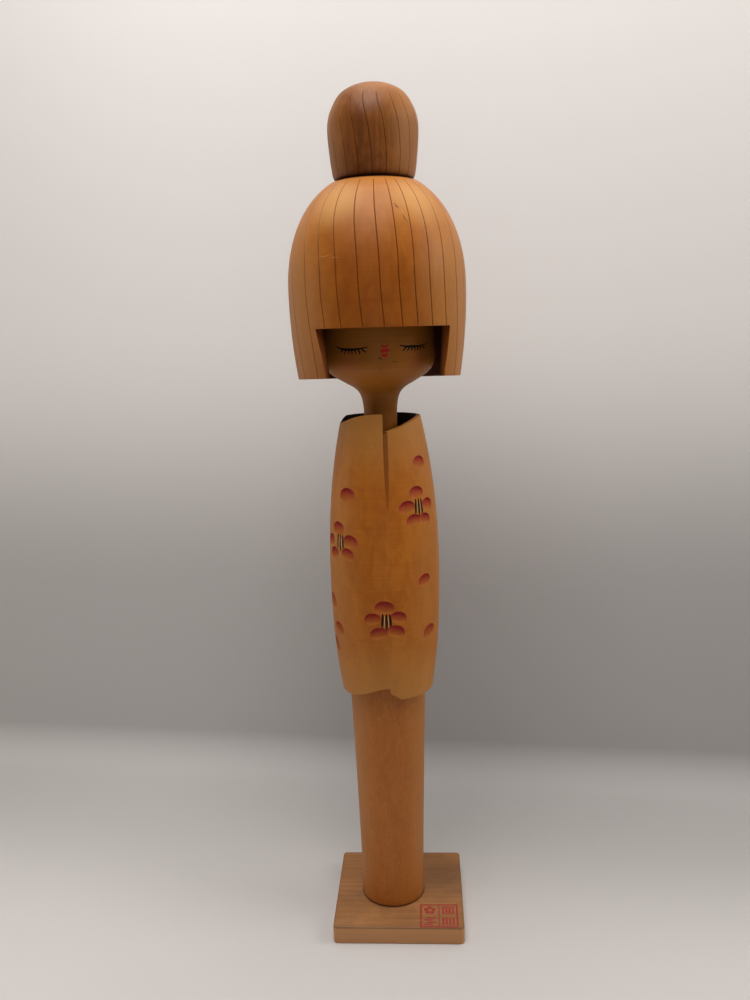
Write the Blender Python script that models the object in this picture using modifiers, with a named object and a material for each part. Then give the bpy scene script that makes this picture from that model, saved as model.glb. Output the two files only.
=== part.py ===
"""Wooden kokeshi doll with a turned head, a hollowed hair cap and a carved kimono.

The doll stands on +Z with its face towards -Y. The origin is on the doll's own axis,
at the underside of its square base plate. Lengths are in metres.

Root, which stands still: base_plate, base_screw, leg_column, kimono_body.
Head, which turns about Z on the neck peg: face_and_neck, hair_cap, topknot, topknot_dowel.
"""
import math

import bmesh
import bpy
from mathutils import Matrix, Vector

MM = 0.001
GAP = 0.3 * MM                # clearance between two touching pieces
STEPS = 48                    # flats round a large turned piece
SMALL_STEPS = 32              # flats round a slim one
MERGE = 0.00001               # merge distance of the turned meshes

# Base plate: a square of wood, a little off the doll's axis
PLATE_SIDE = 57.3 * MM
PLATE_THICK = 8.1 * MM
PLATE_X = 2.95 * MM
PLATE_Y = 0.76 * MM
PLATE_CORNER = 1.8 * MM
PLATE_EDGE = 0.5 * MM

# Countersunk wood screw, up through the plate into the column
SCREW_R = 2.0 * MM
SCREW_HEAD_R = 4.0 * MM
SCREW_HEAD_H = 2.2 * MM
SCREW_RECESS = 0.5 * MM       # the head sits this far inside the underside
SCREW_LENGTH = 30.0 * MM
SLOT_W = 1.0 * MM
SLOT_D = 0.9 * MM

# Leg column, which runs up into the kimono's lower bore
COLUMN_FOOT_R = 13.95 * MM
COLUMN_TOP_R = 16.6 * MM
COLUMN_TAPER_TOP = 110.0 * MM
COLUMN_TOP = 148.0 * MM
COLUMN_TAPER_POWER = 1.35

# Kimono: a barrel, bored from below for the column and hollowed from above for the collar
KIMONO_R = 23.5 * MM
KIMONO_WIDEST = 163.0 * MM
KIMONO_TOP = 230.0 * MM
KIMONO_HEM = 109.1 * MM
COLLAR_BORE_R = 15.0 * MM
COLLAR_FLOOR = 206.0 * MM
SOCKET_R = 5.8 * MM
SOCKET_DEPTH = 20.0 * MM
OVERLAP_X = 1.6 * MM          # the overlap's edge, left panel over right
OVERLAP_END = 197.5 * MM      # where the overlap runs out, down the front
OVERLAP_DEPTH = 1.2 * MM
OVERLAP_WIDTH = 2.0 * MM

# Face and neck: one turned piece, peg below and tenon above
NECK_R = 7.0 * MM
FACE_R = 23.05 * MM
FACE_WIDEST = 255.0 * MM
FACE_TOP = 285.7 * MM
TENON_R = 6.0 * MM
TENON_TOP = 300.0 * MM

# Hair cap: a dome, hollowed from below, with a window cut for the face
HAIR_R = 36.26 * MM
HAIR_WIDEST = 279.0 * MM
HAIR_TOP = 321.6 * MM
HAIR_DOME_H = 46.7 * MM       # height of the full dome above its widest ring
HAIR_DOME_POWER = 2.2
HAIR_TUCK = 2.2               # how fast the sides draw in below the widest ring, per metre
HAIR_BOTTOM = 244.0 * MM      # height of the lower rim on the axis
HAIR_BOTTOM_TILT = math.radians(2.8)
HOLLOW_R = 32.0 * MM
HOLLOW_TOP = 286.0 * MM
HEAD_TURN = math.radians(7.1)   # the head stands turned a little to the doll's left
WINDOW_TOP = 264.4 * MM
WINDOW_HALF_TOP = math.radians(46.8)
WINDOW_HALF_BOTTOM = math.radians(41.5)

# Topknot
KNOT_R = 18.1 * MM
KNOT_SEAT = HAIR_TOP + GAP
KNOT_TOP = 358.5 * MM
DOWEL_R = 3.0 * MM
DOWEL_BOTTOM = 311.5 * MM
DOWEL_TOP = 333.0 * MM


# ---------------------------------------------------------------- scene and collections

for old in list(bpy.data.objects):
    bpy.data.objects.remove(old, do_unlink=True)

doll = bpy.data.collections.new("kokeshi_doll")
cutters = bpy.data.collections.new("cutters")
bpy.context.scene.collection.children.link(doll)
bpy.context.scene.collection.children.link(cutters)


def finish(name, colour, roughness, metallic=0.0):
    """A plain material for one sub-part."""
    material = bpy.data.materials.new(name)
    material.use_nodes = True
    shader = material.node_tree.nodes["Principled BSDF"]
    shader.inputs["Base Color"].default_value = (*colour, 1.0)
    shader.inputs["Roughness"].default_value = roughness
    shader.inputs["Metallic"].default_value = metallic
    return material


# ---------------------------------------------------------------- outlines

def flowing(points, per_span=4):
    """A smooth line through the given points, as a Catmull-Rom curve."""
    held = [points[0], *points, points[-1]]
    line = []
    for i in range(1, len(held) - 2):
        p0, p1, p2, p3 = (Vector(p) for p in held[i - 1:i + 3])
        for k in range(per_span):
            t = k / per_span
            bend = (2 * p0 - 5 * p1 + 4 * p2 - p3) * t ** 2
            twist = (3 * p1 - p0 - 3 * p2 + p3) * t ** 3
            line.append(tuple(0.5 * (2 * p1 + (p2 - p0) * t + bend + twist)))
    line.append(tuple(points[-1]))
    return line


def heights(start, end, count):
    """Evenly spaced heights from start to end, both included."""
    return [start + (end - start) * i / (count - 1) for i in range(count)]


# ---------------------------------------------------------------- makers

def turned(name, profile, steps, material):
    """A body of revolution about Z. The profile is (radius, height) down the outer side."""
    mesh = bpy.data.meshes.new(name)
    edges = [(i, i + 1) for i in range(len(profile) - 1)]
    mesh.from_pydata([(r, 0.0, z) for r, z in profile], edges, [])
    body = bpy.data.objects.new(name, mesh)
    body.data.materials.append(material)
    doll.objects.link(body)
    screw = body.modifiers.new("Turning", 'SCREW')
    screw.steps = steps
    screw.render_steps = steps
    screw.use_merge_vertices = True
    screw.merge_threshold = MERGE
    screw.use_smooth_shade = True
    return body


def as_cutter(name, mesh):
    """A hidden object that only cuts others."""
    tool = bpy.data.objects.new(name, mesh)
    tool.hide_render = True
    tool.display_type = 'WIRE'
    cutters.objects.link(tool)
    return tool


def outline_cutter(name, outline, y_from, y_to):
    """A cutter whose outline is drawn in X and Z and runs from one Y to another."""
    drawing = bpy.data.curves.new(name, 'CURVE')
    drawing.dimensions = '2D'
    drawing.fill_mode = 'BOTH'
    drawing.extrude = (y_to - y_from) / 2
    spline = drawing.splines.new('POLY')
    spline.points.add(len(outline) - 1)
    for point, (x, z) in zip(spline.points, outline):
        point.co = (x, z, 0.0, 1.0)
    spline.use_cyclic_u = True
    sheet = bpy.data.objects.new(name + "_drawing", drawing)
    cutters.objects.link(sheet)
    stand_up = Matrix.Rotation(math.pi / 2, 4, 'X')
    sheet.matrix_world = Matrix.Translation((0.0, (y_from + y_to) / 2, 0.0)) @ stand_up
    bpy.context.view_layer.update()
    flat = sheet.evaluated_get(bpy.context.evaluated_depsgraph_get())
    mesh = bpy.data.meshes.new_from_object(flat)
    work = bmesh.new()
    work.from_mesh(mesh)
    bmesh.ops.remove_doubles(work, verts=work.verts, dist=MERGE)
    bmesh.ops.recalc_face_normals(work, faces=work.faces)
    work.to_mesh(mesh)
    work.free()
    tool = as_cutter(name, mesh)
    tool.matrix_world = sheet.matrix_world.copy()
    bpy.data.objects.remove(sheet)
    return tool


def block_cutter(name, corner):
    """A cutter with six faces. corner(i, j, k) gives each corner for i, j, k of 0 or 1."""
    work = bmesh.new()
    bmesh.ops.create_cube(work, size=1.0)
    for vertex in work.verts:
        i, j, k = (int(c > 0) for c in vertex.co)
        vertex.co = corner(i, j, k)
    bmesh.ops.recalc_face_normals(work, faces=work.faces)
    mesh = bpy.data.meshes.new(name)
    work.to_mesh(mesh)
    work.free()
    return as_cutter(name, mesh)


def cut(body, tool):
    """Cut the tool's shape out of the body."""
    difference = body.modifiers.new("Cut by " + tool.name, 'BOOLEAN')
    difference.operation = 'DIFFERENCE'
    difference.solver = 'EXACT'
    difference.object = tool


# ---------------------------------------------------------------- base plate and its screw

def make_base_plate():
    """A square plate with eased edges and a countersunk hole on the doll's axis."""
    work = bmesh.new()
    bmesh.ops.create_cube(work, size=1.0)
    bmesh.ops.scale(work, vec=(PLATE_SIDE, PLATE_SIDE, PLATE_THICK), verts=work.verts)
    bmesh.ops.translate(work, vec=(PLATE_X, PLATE_Y, PLATE_THICK / 2), verts=work.verts)
    upright = [e for e in work.edges if abs(e.verts[0].co.z - e.verts[1].co.z) > PLATE_THICK / 2]
    bmesh.ops.bevel(work, geom=upright, offset=PLATE_CORNER, affect='EDGES', segments=4,
                    profile=0.5, material=-1)
    mesh = bpy.data.meshes.new("base_plate")
    work.to_mesh(mesh)
    work.free()
    plate = bpy.data.objects.new("base_plate", mesh)
    plate.data.materials.append(finish("plate_wood", (0.36, 0.22, 0.11), 0.55))
    doll.objects.link(plate)
    easing = plate.modifiers.new("Eased edges", 'BEVEL')
    easing.width = PLATE_EDGE
    easing.segments = 2
    easing.limit_method = 'ANGLE'
    easing.angle_limit = math.radians(60)
    cut(plate, make_screw_hole())
    return plate


def make_screw_hole():
    """The plate's clearance hole and countersink, as a turned cutter."""
    hole_r = SCREW_R + GAP
    sink_r = SCREW_HEAD_R + GAP
    sink_top = SCREW_RECESS + SCREW_HEAD_H + GAP
    profile = [(0.0, PLATE_THICK + MM), (hole_r, PLATE_THICK + MM), (hole_r, sink_top),
               (sink_r, SCREW_RECESS), (sink_r, -MM), (0.0, -MM)]
    hole = turned("screw_hole", profile, 24, finish("cutter", (0.5, 0.5, 0.5), 0.5))
    doll.objects.unlink(hole)
    cutters.objects.link(hole)
    hole.hide_render = True
    hole.display_type = 'WIRE'
    return hole


def make_base_screw():
    """A slotted countersunk wood screw, point up."""
    tip = SCREW_RECESS + SCREW_LENGTH
    profile = [(0.0, tip), (0.6 * MM, tip - 0.6 * MM), (SCREW_R, tip - 5 * MM),
               (SCREW_R, SCREW_RECESS + SCREW_HEAD_H), (SCREW_HEAD_R, SCREW_RECESS + 0.2 * MM),
               (SCREW_HEAD_R, SCREW_RECESS), (0.0, SCREW_RECESS)]
    screw = turned("base_screw", profile, 24, finish("screw_steel", (0.55, 0.54, 0.52), 0.35, 1.0))
    reach = 2 * SCREW_HEAD_R

    def corner(i, j, k):
        return ((i - 0.5) * 2 * reach, (j - 0.5) * SLOT_W,
                SCREW_RECESS + (SLOT_D if k else -SLOT_D))

    cut(screw, block_cutter("screw_slot", corner))
    return screw


# ---------------------------------------------------------------- leg column

def make_leg_column():
    """A column that widens upwards, with a pilot hole in its foot."""
    foot = PLATE_THICK + GAP
    span = COLUMN_TAPER_TOP - foot
    growth = COLUMN_TOP_R - COLUMN_FOOT_R
    bevel = 1.0 * MM
    hole_r = SCREW_R + GAP
    profile = [(0.0, COLUMN_TOP), (COLUMN_TOP_R - bevel, COLUMN_TOP),
               (COLUMN_TOP_R, COLUMN_TOP - bevel)]
    for z in heights(COLUMN_TAPER_TOP, foot, 8):
        rise = ((z - foot) / span) ** COLUMN_TAPER_POWER
        profile.append((COLUMN_FOOT_R + growth * rise, z))
    hole_top = SCREW_RECESS + SCREW_LENGTH + MM
    profile += [(hole_r, foot), (hole_r, hole_top - MM), (0.0, hole_top)]
    return turned("leg_column", profile, STEPS, finish("column_wood", (0.50, 0.27, 0.12), 0.45))


# ---------------------------------------------------------------- kimono

def kimono_radius(z):
    """The kimono's outer radius: a barrel that draws in faster below than above."""
    above = z - KIMONO_WIDEST
    if above > 0:
        return KIMONO_R - 0.866e-6 * (above / MM) ** 2.15
    return KIMONO_R - 0.26e-6 * (-above / MM) ** 2.4


def make_kimono():
    """The barrel, its two bores, and the knife cuts at collar, overlap and hem."""
    bore_r = COLUMN_TOP_R + GAP
    bore_top = COLUMN_TOP + GAP
    rim = KIMONO_TOP + MM
    hem = KIMONO_HEM - 3 * MM
    socket_floor = COLLAR_FLOOR - SOCKET_DEPTH
    profile = [(0.0, socket_floor), (SOCKET_R, socket_floor), (SOCKET_R, COLLAR_FLOOR),
               (COLLAR_BORE_R, COLLAR_FLOOR), (COLLAR_BORE_R, rim)]
    profile += [(kimono_radius(z), z) for z in heights(rim, hem, 22)]
    profile += [(bore_r, hem), (bore_r, bore_top), (0.0, bore_top)]
    kimono = turned("kimono_body", profile, STEPS, finish("kimono_wood", (0.60, 0.33, 0.12), 0.4))

    reach = 30.0 * MM
    over = KIMONO_TOP + 10 * MM
    left_panel = flowing([(-18.5 * MM, 223.4 * MM), (-12.4 * MM, 228.4 * MM),
                          (-5.9 * MM, 229.9 * MM), (OVERLAP_X, KIMONO_TOP)])
    right_panel = flowing([(OVERLAP_X, 222.9 * MM), (6.0 * MM, 223.9 * MM),
                           (13.7 * MM, 226.8 * MM), (16.5 * MM, 228.3 * MM)])
    front = [(-reach, 223.4 * MM), *left_panel, *right_panel, (reach, 228.3 * MM),
             (reach, over), (-reach, over)]
    cut(kimono, outline_cutter("collar_front", front, -reach, 0.0))
    back = [(-reach, 223.4 * MM), (-17.2 * MM, 223.4 * MM), (-14.6 * MM, 228.0 * MM),
            (reach, 228.3 * MM), (reach, over), (-reach, over)]
    cut(kimono, outline_cutter("collar_back", back, -MM, reach))

    under = hem - 5 * MM
    left_hem = flowing([(-15.0 * MM, 109.7 * MM), (-10.0 * MM, 111.4 * MM),
                        (-5.5 * MM, 113.2 * MM), (1.8 * MM, 114.8 * MM)])
    right_hem = flowing([(3.5 * MM, 112.6 * MM), (6.0 * MM, 109.9 * MM),
                         (9.0 * MM, KIMONO_HEM), (14.0 * MM, KIMONO_HEM)])
    hem_front = [(-reach, 109.3 * MM), *left_hem, *right_hem, (reach, KIMONO_HEM),
                 (reach, under), (-reach, under)]
    cut(kimono, outline_cutter("hem_front", hem_front, -reach, 0.0))
    hem_back = [(-reach, 109.3 * MM), (reach, KIMONO_HEM), (reach, under), (-reach, under)]
    cut(kimono, outline_cutter("hem_back", hem_back, -MM, reach))

    def corner(i, j, k):
        """A thin wedge: a steep wall on the left, a floor that rises to the right."""
        z = over if k else OVERLAP_END
        surface = -kimono_radius(min(z, KIMONO_TOP))
        depth = OVERLAP_DEPTH if k else 0.0
        if j == 0:
            return (OVERLAP_X + i * 2 * OVERLAP_WIDTH, surface - 3 * MM, z)
        return (OVERLAP_X + i * OVERLAP_WIDTH, surface + (0.0 if i else depth), z)

    cut(kimono, block_cutter("overlap_wedge", corner))
    return kimono


# ---------------------------------------------------------------- head

def make_face_and_neck():
    """Face bulb, neck and peg in one turned piece, with a tenon for the hair cap."""
    peg_r = SOCKET_R - GAP
    shoulder = COLLAR_FLOOR + GAP
    peg_bottom = COLLAR_FLOOR - SOCKET_DEPTH + GAP
    crown = flowing([(TENON_R, FACE_TOP), (15.0 * MM, 284.6 * MM), (20.5 * MM, 278.0 * MM),
                     (22.5 * MM, 267.0 * MM), (FACE_R, FACE_WIDEST)], 3)
    jaw = flowing([(FACE_R, FACE_WIDEST), (22.5 * MM, 249.2 * MM), (19.6 * MM, 245.5 * MM),
                   (14.8 * MM, 242.5 * MM), (10.2 * MM, 239.7 * MM), (8.0 * MM, 236.6 * MM),
                   (NECK_R, 231.0 * MM)], 2)
    profile = [(0.0, TENON_TOP), (TENON_R - MM, TENON_TOP), (TENON_R, TENON_TOP - MM), *crown,
               *jaw[1:], (NECK_R, shoulder), (peg_r, shoulder), (peg_r, peg_bottom + MM),
               (peg_r - MM, peg_bottom), (0.0, peg_bottom)]
    return turned("face_and_neck", profile, SMALL_STEPS, finish("face_wood", (0.47, 0.28, 0.12), 0.45))


def hair_radius(z):
    """The hair cap's outer radius at a height."""
    above = z - HAIR_WIDEST
    if above > 0:
        left = 1 - (above / HAIR_DOME_H) ** HAIR_DOME_POWER
        return HAIR_R * left ** (1 / HAIR_DOME_POWER)
    return HAIR_R - HAIR_TUCK * above ** 2


def make_hair_cap():
    """A dome hollowed from below, its sloping lower rim, and the window for the face."""
    dowel_hole = DOWEL_R + GAP
    socket_r = TENON_R + GAP
    socket_top = TENON_TOP + GAP
    low = HAIR_BOTTOM - 4 * MM
    hole_floor = DOWEL_BOTTOM - GAP
    profile = [(0.0, hole_floor), (dowel_hole, hole_floor), (dowel_hole, HAIR_TOP)]
    dome_angles = heights(math.radians(23.5), math.radians(90), 12)
    for a in dome_angles:
        z = HAIR_WIDEST + (HAIR_TOP - HAIR_WIDEST) * math.cos(a) / math.cos(dome_angles[0])
        profile.append((hair_radius(z), z))
    profile += [(hair_radius(z), z) for z in heights(HAIR_WIDEST, low, 7)[1:]]
    inside = flowing([(HOLLOW_R - MM, low), (HOLLOW_R, 262.0 * MM), (31.0 * MM, 274.0 * MM),
                      (27.0 * MM, 282.5 * MM), (20.0 * MM, HOLLOW_TOP)], 3)
    profile += [*inside, (socket_r, HOLLOW_TOP), (socket_r, socket_top), (0.0, socket_top)]
    hair = turned("hair_cap", profile, STEPS, finish("hair_wood", (0.58, 0.32, 0.13), 0.4))

    reach = 60.0 * MM

    def under(i, j, k):
        """Everything below the sloping lower rim."""
        y = (j - 0.5) * 2 * reach
        top = HAIR_BOTTOM - y * math.tan(HAIR_BOTTOM_TILT)
        return ((i - 0.5) * 2 * reach, y, top if k else 220.0 * MM)

    def window(i, j, k):
        """A wedge that opens forwards, with radial sides that lean in towards the bottom."""
        half = WINDOW_HALF_TOP if k else WINDOW_HALF_BOTTOM
        angle = HEAD_TURN + (half if i else -half)
        radius = 20.0 * MM if j else reach
        return (radius * math.sin(angle), -radius * math.cos(angle),
                WINDOW_TOP if k else 236.0 * MM)

    cut(hair, block_cutter("lower_rim", under))
    cut(hair, block_cutter("face_window", window))
    return hair


def make_topknot():
    """A rounded bun that widens upwards, bored from below for its dowel."""
    hole_r = DOWEL_R + GAP
    crown = flowing([(0.0, KNOT_TOP), (6.5 * MM, 357.5 * MM), (12.3 * MM, 354.5 * MM),
                     (15.9 * MM, 349.4 * MM), (17.75 * MM, 344.6 * MM), (KNOT_R, 339.5 * MM),
                     (17.5 * MM, 331.5 * MM), (16.6 * MM, 324.6 * MM),
                     (15.6 * MM, KNOT_SEAT + 0.4 * MM)], 2)
    profile = [*crown, (15.1 * MM, KNOT_SEAT), (hole_r, KNOT_SEAT), (hole_r, DOWEL_TOP + GAP),
               (0.0, DOWEL_TOP + GAP)]
    return turned("topknot", profile, STEPS, finish("knot_wood", (0.33, 0.17, 0.09), 0.45))


def make_topknot_dowel():
    """A short round dowel with chamfered ends."""
    bevel = 0.6 * MM
    profile = [(0.0, DOWEL_TOP), (DOWEL_R - bevel, DOWEL_TOP), (DOWEL_R, DOWEL_TOP - bevel),
               (DOWEL_R, DOWEL_BOTTOM + bevel), (DOWEL_R - bevel, DOWEL_BOTTOM),
               (0.0, DOWEL_BOTTOM)]
    return turned("topknot_dowel", profile, 24, finish("dowel_wood", (0.62, 0.42, 0.22), 0.6))


make_base_plate()
make_base_screw()
make_leg_column()
make_kimono()
make_face_and_neck()
make_hair_cap()
make_topknot()
make_topknot_dowel()
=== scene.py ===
"""A turned wooden kokeshi doll: bobbed hair cap, closed painted eyes and a carved kimono.

The doll faces -Y and stands on its square base plate. Lengths are in metres, and angles
round the doll are in degrees from -Y, positive towards +X.
"""
import math
import random

import bmesh
import bpy
from mathutils import Matrix, Vector


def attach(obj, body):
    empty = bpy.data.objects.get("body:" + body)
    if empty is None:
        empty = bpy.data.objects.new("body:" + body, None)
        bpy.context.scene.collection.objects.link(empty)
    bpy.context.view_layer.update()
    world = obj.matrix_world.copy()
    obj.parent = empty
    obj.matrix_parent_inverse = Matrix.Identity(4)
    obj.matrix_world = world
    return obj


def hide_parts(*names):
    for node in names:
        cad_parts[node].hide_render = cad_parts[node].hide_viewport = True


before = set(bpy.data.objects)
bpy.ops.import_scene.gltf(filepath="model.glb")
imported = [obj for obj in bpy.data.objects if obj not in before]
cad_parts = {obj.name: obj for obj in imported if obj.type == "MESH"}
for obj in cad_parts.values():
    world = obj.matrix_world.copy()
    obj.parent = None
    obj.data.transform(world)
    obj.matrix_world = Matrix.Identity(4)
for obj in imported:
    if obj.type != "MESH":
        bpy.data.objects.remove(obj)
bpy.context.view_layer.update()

MM = 0.001


# ==== Camera, floor and light =================================================
# The doll stands on a paper sweep whose wall rises close behind it. Shade is painted into the
# paper: pale in front and above, greyer at the bend. Two broad lights hang overhead and in front,
# and three weaker ones fill the right, the left and the foot. None of them shows to the camera.

CAMERA_PLACE = Vector((0.01803, -0.37451, 0.26252))
CAMERA_HEADING = math.radians(-3.277)
CAMERA_PITCH = math.radians(10.635)
CAMERA_ROLL = math.radians(1.683)
CAMERA_LENS = 32.126
WALL_DISTANCE = 0.128
WALL_YAW = math.radians(-6.0)
SWEEP_RADIUS = 0.022
SWEEP_HALF_WIDTH = 1.6
WALL_HEIGHT = 1.7
FLOOR_DEPTH = 1.6
# Each fade of painted shade on the paper: the axis it runs along, from where to where, and its shade at
# both ends
PAINTED_PAPER_SHADE = (("Y", WALL_DISTANCE - 0.03, WALL_DISTANCE - 0.19, 0.41, 0.60),
               ("Y", -0.10, -0.42, 0.0, -0.42), ("X", 0.03, -0.20, 0.0, 0.07),
               ("Z", 0.09, 0.29, 0.0, 0.36))
PAPER_TINT = (1.0, 0.975, 0.97)



def in_scene(name, data):
    """A new object of the scene, at the origin."""
    made = bpy.data.objects.new(name, data)
    bpy.context.scene.collection.objects.link(made)
    return made


camera_data = bpy.data.cameras.new("camera")
camera_data.sensor_width = 36.0
camera_data.lens = CAMERA_LENS
camera_data.clip_start = 0.01
camera = in_scene("camera", camera_data)
ahead = Vector((math.sin(CAMERA_HEADING) * math.cos(CAMERA_PITCH),
                math.cos(CAMERA_HEADING) * math.cos(CAMERA_PITCH),
                -math.sin(CAMERA_PITCH)))
level = Vector((math.cos(CAMERA_HEADING), -math.sin(CAMERA_HEADING), 0.0))
plumb = ahead.cross(level)
across = math.cos(CAMERA_ROLL) * level + math.sin(CAMERA_ROLL) * plumb
over = math.sin(CAMERA_ROLL) * level - math.cos(CAMERA_ROLL) * plumb
camera.matrix_world = Matrix((across, over, -ahead)).transposed().to_4x4()
camera.location = CAMERA_PLACE
bpy.context.scene.camera = camera
bpy.context.scene.view_settings.view_transform = 'Standard'


class Finish:
    """One procedural finish. Each method adds a node and returns its output."""

    def __init__(self, name, roughness, gloss=0.5):
        self.material = bpy.data.materials.new(name)
        self.material.use_nodes = True
        self.nodes = self.material.node_tree.nodes
        self.links = self.material.node_tree.links
        self.shader = self.nodes["Principled BSDF"]
        self.shader.inputs["Roughness"].default_value = roughness
        self.shader.inputs["Specular IOR Level"].default_value = gloss
        self.place = self.nodes.new("ShaderNodeTexCoord").outputs["Object"]

    def put(self, value, socket):
        """Link a node's output to a socket, or set a plain value on it."""
        if isinstance(value, bpy.types.NodeSocket):
            self.links.new(value, socket)
        elif isinstance(value, tuple) and len(value) == 3 and socket.type == 'RGBA':
            socket.default_value = (*value, 1.0)
        else:
            socket.default_value = value

    def noise(self, stretch, detail=4.0, roughness=0.55, distortion=0.0, offset=(0, 0, 0)):
        """Noise with its own number of cells per metre along X, Y and Z."""
        mapping = self.nodes.new("ShaderNodeMapping")
        mapping.inputs["Scale"].default_value = stretch
        mapping.inputs["Location"].default_value = offset
        self.links.new(self.place, mapping.inputs["Vector"])
        noise = self.nodes.new("ShaderNodeTexNoise")
        noise.inputs["Scale"].default_value = 1.0
        noise.inputs["Detail"].default_value = detail
        noise.inputs["Roughness"].default_value = roughness
        noise.inputs["Distortion"].default_value = distortion
        self.links.new(mapping.outputs["Vector"], noise.inputs["Vector"])
        return noise.outputs["Fac"]

    def rings(self, pith, tilt, spacing, wander):
        """Growth rings round a pith that lies off the piece, as 0 to 1."""
        mapping = self.nodes.new("ShaderNodeMapping")
        mapping.inputs["Location"].default_value = pith
        mapping.inputs["Rotation"].default_value = tilt
        self.links.new(self.place, mapping.inputs["Vector"])
        wave = self.nodes.new("ShaderNodeTexWave")
        wave.wave_type = 'RINGS'
        wave.rings_direction = 'Z'
        wave.inputs["Scale"].default_value = math.pi / 10 / spacing
        wave.inputs["Distortion"].default_value = wander
        wave.inputs["Detail"].default_value = 2.0
        wave.inputs["Detail Scale"].default_value = 0.12
        self.links.new(mapping.outputs["Vector"], wave.inputs["Vector"])
        return wave.outputs["Fac"]

    def span(self, value, low, high, to_low=0.0, to_high=1.0, easing='SMOOTHSTEP'):
        """Stretch a range of values smoothly to another."""
        node = self.nodes.new("ShaderNodeMapRange")
        node.interpolation_type = easing
        for name, number in (("From Min", low), ("From Max", high),
                             ("To Min", to_low), ("To Max", to_high)):
            node.inputs[name].default_value = number
        self.put(value, node.inputs["Value"])
        return node.outputs["Result"]

    def maths(self, kind, first, second=0.0):
        """One sum on two values."""
        node = self.nodes.new("ShaderNodeMath")
        node.operation = kind
        self.put(first, node.inputs[0])
        self.put(second, node.inputs[1])
        return node.outputs[0]

    def axis(self, name, away_from=0.0):
        """The distance along X, Y or Z from a value, as a plain number."""
        split = self.nodes.new("ShaderNodeSeparateXYZ")
        self.links.new(self.place, split.inputs[0])
        return self.maths('ABSOLUTE', self.maths('SUBTRACT', split.outputs[name], away_from))

    def from_axis(self):
        """The distance from the doll's upright axis."""
        square_x = self.maths('POWER', self.axis('X'), 2.0)
        square_y = self.maths('POWER', self.axis('Y'), 2.0)
        return self.maths('SQRT', self.maths('ADD', square_x, square_y))

    def painted(self, name):
        """A value stored on the mesh's points."""
        node = self.nodes.new("ShaderNodeAttribute")
        node.attribute_name = name
        return node.outputs["Fac"]

    def near(self, point, inner, outer, amount):
        """The given amount close to a point, fading to nothing further away."""
        gap = self.nodes.new("ShaderNodeVectorMath")
        gap.operation = 'DISTANCE'
        self.links.new(self.place, gap.inputs[0])
        gap.inputs[1].default_value = point
        return self.span(gap.outputs["Value"], inner, outer, amount, 0.0)

    def flanks(self, middle, inner, outer, amount):
        """Nothing across the middle of the piece, rising to the given amount at its two sides."""
        return self.span(self.axis('X', middle), inner, outer, 0.0, amount)

    def mix(self, amount, under, top, kind='MIX'):
        """Lay one colour over another."""
        node = self.nodes.new("ShaderNodeMix")
        node.data_type = 'RGBA'
        node.blend_type = kind
        self.put(amount, node.inputs["Factor"])
        self.put(under, node.inputs["A"])
        self.put(top, node.inputs["B"])
        return node.outputs["Result"]

    def layer(self, under, mask, low, high, amount, top):
        """Lay a colour over another: nothing where a mask is low, the given amount where it is high."""
        return self.mix(self.span(mask, low, high, 0.0, amount), under, top)

    def colour(self, value):
        self.put(value, self.shader.inputs["Base Color"])

    def relief(self, height, depth):
        """Fine surface relief, depth metres from the lowest to the highest."""
        bump = self.nodes.new("ShaderNodeBump")
        bump.inputs["Strength"].default_value = 1.0
        bump.inputs["Distance"].default_value = depth
        self.put(height, bump.inputs["Height"])
        self.links.new(bump.outputs["Normal"], self.shader.inputs["Normal"])


def sweep_paper():
    """Matt paper with painted shade, darker towards the bend, and clear from behind so that it never
    hides the doll.
    """
    paper = Finish("sweep_paper", 0.8)
    turned = paper.nodes.new("ShaderNodeVectorRotate")
    turned.rotation_type = 'Z_AXIS'
    turned.inputs["Angle"].default_value = -WALL_YAW
    split = paper.nodes.new("ShaderNodeSeparateXYZ")
    paper.links.new(paper.place, turned.inputs["Vector"])
    paper.links.new(turned.outputs["Vector"], split.inputs[0])
    shade = 0.0
    for axis, start, end, low, high in PAINTED_PAPER_SHADE:
        fade = paper.span(split.outputs[axis], start, end, low, high, 'SMOOTHERSTEP')
        shade = paper.maths('ADD', shade, fade)
    paper.colour(paper.mix(shade, (0.0, 0.0, 0.0), PAPER_TINT))
    side = paper.nodes.new("ShaderNodeNewGeometry")
    clear = paper.nodes.new("ShaderNodeBsdfTransparent")
    one_sided = paper.nodes.new("ShaderNodeMixShader")
    paper.links.new(side.outputs["Backfacing"], one_sided.inputs[0])
    paper.links.new(paper.shader.outputs[0], one_sided.inputs[1])
    paper.links.new(clear.outputs[0], one_sided.inputs[2])
    paper.links.new(one_sided.outputs[0], paper.nodes["Material Output"].inputs["Surface"])
    return paper.material


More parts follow.
